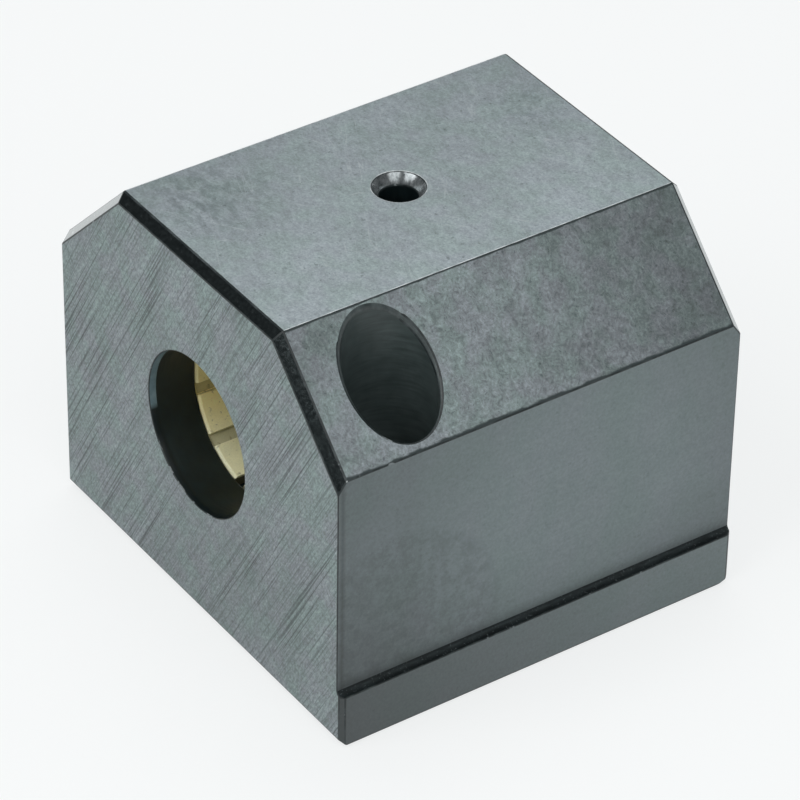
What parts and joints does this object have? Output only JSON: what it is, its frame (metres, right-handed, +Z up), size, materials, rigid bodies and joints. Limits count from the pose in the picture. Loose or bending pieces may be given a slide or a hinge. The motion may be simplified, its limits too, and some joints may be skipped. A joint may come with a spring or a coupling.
{
  "type": "linear bearing block",
  "caption": "Closed linear bearing block for a round shaft, with a split polymer liner, a locating ledge and counterbored screw holes.",
  "frame": {"origin": "on the base, straight below the shaft axis, half way along the block", "axes": "+Z up from the base, +Y along the shaft to the rear end, +X across towards the locating ledge"},
  "size_m": [0.0592, 0.0556, 0.0498],
  "materials": {
    "housing_metal": "dark anodised, milled, satin",
    "liner_polymer": "moulded, smooth satin"
  },
  "bodies": {
    "root": {"housing": "housing_metal", "liner": "liner_polymer"}
  },
  "joints": []
}
